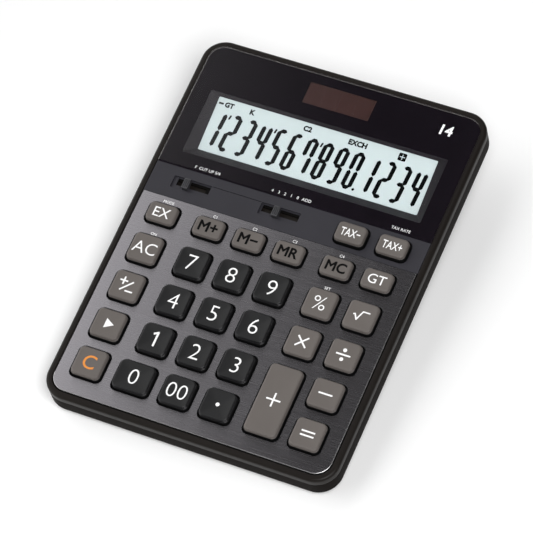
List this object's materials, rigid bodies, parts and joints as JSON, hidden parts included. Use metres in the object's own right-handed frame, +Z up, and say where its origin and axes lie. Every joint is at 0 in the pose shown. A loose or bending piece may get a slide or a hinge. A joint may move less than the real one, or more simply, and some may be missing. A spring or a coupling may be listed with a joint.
{
  "type": "desk calculator",
  "caption": "Tilted desk calculator with a wide window over the display, a slide switch strip, a brushed metal face of sprung keys, a solar cell and a battery cover below.",
  "frame": {"origin": "middle of the footprint, on the surface that the rubber feet stand on", "axes": "+Z up, +Y away from the user along the depth, +X to the right across the width"},
  "size_m": [0.155, 0.2122, 0.0356],
  "materials": {
    "case_plastic": "fine matt moulded texture, near black with a brown cast",
    "panel_metal": "thin sheet, finely brushed along its width",
    "strip_plastic": "satin dark grey",
    "cover_acrylic": "polished black with a clear window",
    "bezel_plastic": "satin dark grey",
    "display_glass": "pale blue-green reflective display",
    "solar_glass": "dark brown amorphous cell",
    "board_laminate": "green solder mask",
    "dome_rubber": "grey silicone",
    "ribbon_film": "amber film with fine tracks",
    "key_black": "satin near black with white legends",
    "key_grey": "satin warm grey on a black skirt",
    "knob_plastic": "satin dark grey",
    "bright_steel": "plated",
    "contact_brass": "sprung contact strip",
    "lead_black": "flexible insulation",
    "lead_red": "flexible insulation",
    "foot_rubber": "soft black"
  },
  "bodies": {
    "root": {"upper_case": "case_plastic", "lower_case": "case_plastic", "battery_cover": "case_plastic", "key_panel": "panel_metal", "switch_strip": "strip_plastic", "display_cover": "cover_acrylic", "display_bezel": "bezel_plastic", "display_glass": "display_glass", "solar_cell": "solar_glass", "main_board": "board_laminate", "keypad_sheet": "dome_rubber", "display_ribbon": "ribbon_film", "battery_cover_screw": "bright_steel", "button_cell": "bright_steel", "battery_contact_cap": "contact_brass", "battery_contact_can": "contact_brass", "battery_lead_black": "lead_black", "battery_lead_red": "lead_red", "case_screw_front_left": "bright_steel", "foot_front_left": "foot_rubber", "case_screw_back_left": "bright_steel", "foot_back_left": "foot_rubber", "case_screw_front_right": "bright_steel", "foot_front_right": "foot_rubber", "case_screw_back_right": "bright_steel", "foot_back_right": "foot_rubber"},
    "key_clear": {"key_clear": "key_grey"},
    "key_backspace": {"key_backspace": "key_grey"},
    "key_sign": {"key_sign": "key_grey"},
    "key_all_clear": {"key_all_clear": "key_grey"},
    "key_exchange": {"key_exchange": "key_grey"},
    "key_memory_plus": {"key_memory_plus": "key_grey"},
    "key_memory_minus": {"key_memory_minus": "key_grey"},
    "key_memory_recall": {"key_memory_recall": "key_grey"},
    "key_memory_clear": {"key_memory_clear": "key_grey"},
    "key_grand_total": {"key_grand_total": "key_grey"},
    "key_tax_minus": {"key_tax_minus": "key_grey"},
    "key_tax_plus": {"key_tax_plus": "key_grey"},
    "key_percent": {"key_percent": "key_grey"},
    "key_root": {"key_root": "key_grey"},
    "key_multiply": {"key_multiply": "key_grey"},
    "key_divide": {"key_divide": "key_grey"},
    "key_minus": {"key_minus": "key_grey"},
    "key_equals": {"key_equals": "key_grey"},
    "key_plus": {"key_plus": "key_grey"},
    "key_0": {"key_0": "key_black"},
    "key_00": {"key_00": "key_black"},
    "key_point": {"key_point": "key_black"},
    "key_1": {"key_1": "key_black"},
    "key_2": {"key_2": "key_black"},
    "key_3": {"key_3": "key_black"},
    "key_4": {"key_4": "key_black"},
    "key_5": {"key_5": "key_black"},
    "key_6": {"key_6": "key_black"},
    "key_7": {"key_7": "key_black"},
    "key_8": {"key_8": "key_black"},
    "key_9": {"key_9": "key_black"},
    "rounding_switch_knob": {"rounding_switch_knob": "knob_plastic"},
    "decimal_switch_knob": {"decimal_switch_knob": "knob_plastic"}
  },
  "joints": [
    {"name": "key_clear_press", "type": "slide", "parent": "root", "child": "key_clear", "axis": [0, 0.0906, -0.9959], "range_m": [0, 0.0018], "stiffness_N_per_m": 300, "springref_m": -0.0006, "deforming": ["keypad_sheet"]},
    {"name": "key_backspace_press", "type": "slide", "parent": "root", "child": "key_backspace", "axis": [0, 0.0906, -0.9959], "range_m": [0, 0.0018], "stiffness_N_per_m": 300, "springref_m": -0.0006, "deforming": ["keypad_sheet"]},
    {"name": "key_sign_press", "type": "slide", "parent": "root", "child": "key_sign", "axis": [0, 0.0906, -0.9959], "range_m": [0, 0.0018], "stiffness_N_per_m": 300, "springref_m": -0.0006, "deforming": ["keypad_sheet"]},
    {"name": "key_all_clear_press", "type": "slide", "parent": "root", "child": "key_all_clear", "axis": [0, 0.0906, -0.9959], "range_m": [0, 0.0018], "stiffness_N_per_m": 300, "springref_m": -0.0006, "deforming": ["keypad_sheet"]},
    {"name": "key_exchange_press", "type": "slide", "parent": "root", "child": "key_exchange", "axis": [0, 0.0906, -0.9959], "range_m": [0, 0.0018], "stiffness_N_per_m": 300, "springref_m": -0.0006, "deforming": ["keypad_sheet"]},
    {"name": "key_memory_plus_press", "type": "slide", "parent": "root", "child": "key_memory_plus", "axis": [0, 0.0906, -0.9959], "range_m": [0, 0.0018], "stiffness_N_per_m": 300, "springref_m": -0.0006, "deforming": ["keypad_sheet"]},
    {"name": "key_memory_minus_press", "type": "slide", "parent": "root", "child": "key_memory_minus", "axis": [0, 0.0906, -0.9959], "range_m": [0, 0.0018], "stiffness_N_per_m": 300, "springref_m": -0.0006, "deforming": ["keypad_sheet"]},
    {"name": "key_memory_recall_press", "type": "slide", "parent": "root", "child": "key_memory_recall", "axis": [0, 0.0906, -0.9959], "range_m": [0, 0.0018], "stiffness_N_per_m": 300, "springref_m": -0.0006, "deforming": ["keypad_sheet"]},
    {"name": "key_memory_clear_press", "type": "slide", "parent": "root", "child": "key_memory_clear", "axis": [0, 0.0906, -0.9959], "range_m": [0, 0.0018], "stiffness_N_per_m": 300, "springref_m": -0.0006, "deforming": ["keypad_sheet"]},
    {"name": "key_grand_total_press", "type": "slide", "parent": "root", "child": "key_grand_total", "axis": [0, 0.0906, -0.9959], "range_m": [0, 0.0018], "stiffness_N_per_m": 300, "springref_m": -0.0006, "deforming": ["keypad_sheet"]},
    {"name": "key_tax_minus_press", "type": "slide", "parent": "root", "child": "key_tax_minus", "axis": [0, 0.0906, -0.9959], "range_m": [0, 0.0018], "stiffness_N_per_m": 300, "springref_m": -0.0006, "deforming": ["keypad_sheet"]},
    {"name": "key_tax_plus_press", "type": "slide", "parent": "root", "child": "key_tax_plus", "axis": [0, 0.0906, -0.9959], "range_m": [0, 0.0018], "stiffness_N_per_m": 300, "springref_m": -0.0006, "deforming": ["keypad_sheet"]},
    {"name": "key_percent_press", "type": "slide", "parent": "root", "child": "key_percent", "axis": [0, 0.0906, -0.9959], "range_m": [0, 0.0018], "stiffness_N_per_m": 300, "springref_m": -0.0006, "deforming": ["keypad_sheet"]},
    {"name": "key_root_press", "type": "slide", "parent": "root", "child": "key_root", "axis": [0, 0.0906, -0.9959], "range_m": [0, 0.0018], "stiffness_N_per_m": 300, "springref_m": -0.0006, "deforming": ["keypad_sheet"]},
    {"name": "key_multiply_press", "type": "slide", "parent": "root", "child": "key_multiply", "axis": [0, 0.0906, -0.9959], "range_m": [0, 0.0018], "stiffness_N_per_m": 300, "springref_m": -0.0006, "deforming": ["keypad_sheet"]},
    {"name": "key_divide_press", "type": "slide", "parent": "root", "child": "key_divide", "axis": [0, 0.0906, -0.9959], "range_m": [0, 0.0018], "stiffness_N_per_m": 300, "springref_m": -0.0006, "deforming": ["keypad_sheet"]},
    {"name": "key_minus_press", "type": "slide", "parent": "root", "child": "key_minus", "axis": [0, 0.0906, -0.9959], "range_m": [0, 0.0018], "stiffness_N_per_m": 300, "springref_m": -0.0006, "deforming": ["keypad_sheet"]},
    {"name": "key_equals_press", "type": "slide", "parent": "root", "child": "key_equals", "axis": [0, 0.0906, -0.9959], "range_m": [0, 0.0018], "stiffness_N_per_m": 300, "springref_m": -0.0006, "deforming": ["keypad_sheet"]},
    {"name": "key_plus_press", "type": "slide", "parent": "root", "child": "key_plus", "axis": [0, 0.0906, -0.9959], "range_m": [0, 0.0018], "stiffness_N_per_m": 300, "springref_m": -0.0006, "deforming": ["keypad_sheet"]},
    {"name": "key_0_press", "type": "slide", "parent": "root", "child": "key_0", "axis": [0, 0.0906, -0.9959], "range_m": [0, 0.0018], "stiffness_N_per_m": 300, "springref_m": -0.0006, "deforming": ["keypad_sheet"]},
    {"name": "key_00_press", "type": "slide", "parent": "root", "child": "key_00", "axis": [0, 0.0906, -0.9959], "range_m": [0, 0.0018], "stiffness_N_per_m": 300, "springref_m": -0.0006, "deforming": ["keypad_sheet"]},
    {"name": "key_point_press", "type": "slide", "parent": "root", "child": "key_point", "axis": [0, 0.0906, -0.9959], "range_m": [0, 0.0018], "stiffness_N_per_m": 300, "springref_m": -0.0006, "deforming": ["keypad_sheet"]},
    {"name": "key_1_press", "type": "slide", "parent": "root", "child": "key_1", "axis": [0, 0.0906, -0.9959], "range_m": [0, 0.0018], "stiffness_N_per_m": 300, "springref_m": -0.0006, "deforming": ["keypad_sheet"]},
    {"name": "key_2_press", "type": "slide", "parent": "root", "child": "key_2", "axis": [0, 0.0906, -0.9959], "range_m": [0, 0.0018], "stiffness_N_per_m": 300, "springref_m": -0.0006, "deforming": ["keypad_sheet"]},
    {"name": "key_3_press", "type": "slide", "parent": "root", "child": "key_3", "axis": [0, 0.0906, -0.9959], "range_m": [0, 0.0018], "stiffness_N_per_m": 300, "springref_m": -0.0006, "deforming": ["keypad_sheet"]},
    {"name": "key_4_press", "type": "slide", "parent": "root", "child": "key_4", "axis": [0, 0.0906, -0.9959], "range_m": [0, 0.0018], "stiffness_N_per_m": 300, "springref_m": -0.0006, "deforming": ["keypad_sheet"]},
    {"name": "key_5_press", "type": "slide", "parent": "root", "child": "key_5", "axis": [0, 0.0906, -0.9959], "range_m": [0, 0.0018], "stiffness_N_per_m": 300, "springref_m": -0.0006, "deforming": ["keypad_sheet"]},
    {"name": "key_6_press", "type": "slide", "parent": "root", "child": "key_6", "axis": [0, 0.0906, -0.9959], "range_m": [0, 0.0018], "stiffness_N_per_m": 300, "springref_m": -0.0006, "deforming": ["keypad_sheet"]},
    {"name": "key_7_press", "type": "slide", "parent": "root", "child": "key_7", "axis": [0, 0.0906, -0.9959], "range_m": [0, 0.0018], "stiffness_N_per_m": 300, "springref_m": -0.0006, "deforming": ["keypad_sheet"]},
    {"name": "key_8_press", "type": "slide", "parent": "root", "child": "key_8", "axis": [0, 0.0906, -0.9959], "range_m": [0, 0.0018], "stiffness_N_per_m": 300, "springref_m": -0.0006, "deforming": ["keypad_sheet"]},
    {"name": "key_9_press", "type": "slide", "parent": "root", "child": "key_9", "axis": [0, 0.0906, -0.9959], "range_m": [0, 0.0018], "stiffness_N_per_m": 300, "springref_m": -0.0006, "deforming": ["keypad_sheet"]},
    {"name": "rounding_switch_slide", "type": "slide", "parent": "root", "child": "rounding_switch_knob", "axis": [1, 0, 0], "range_m": [-0.0042, 0.0084]},
    {"name": "decimal_switch_slide", "type": "slide", "parent": "root", "child": "decimal_switch_knob", "axis": [1, 0, 0], "range_m": [-0.0066, 0.0099]}
  ]
}
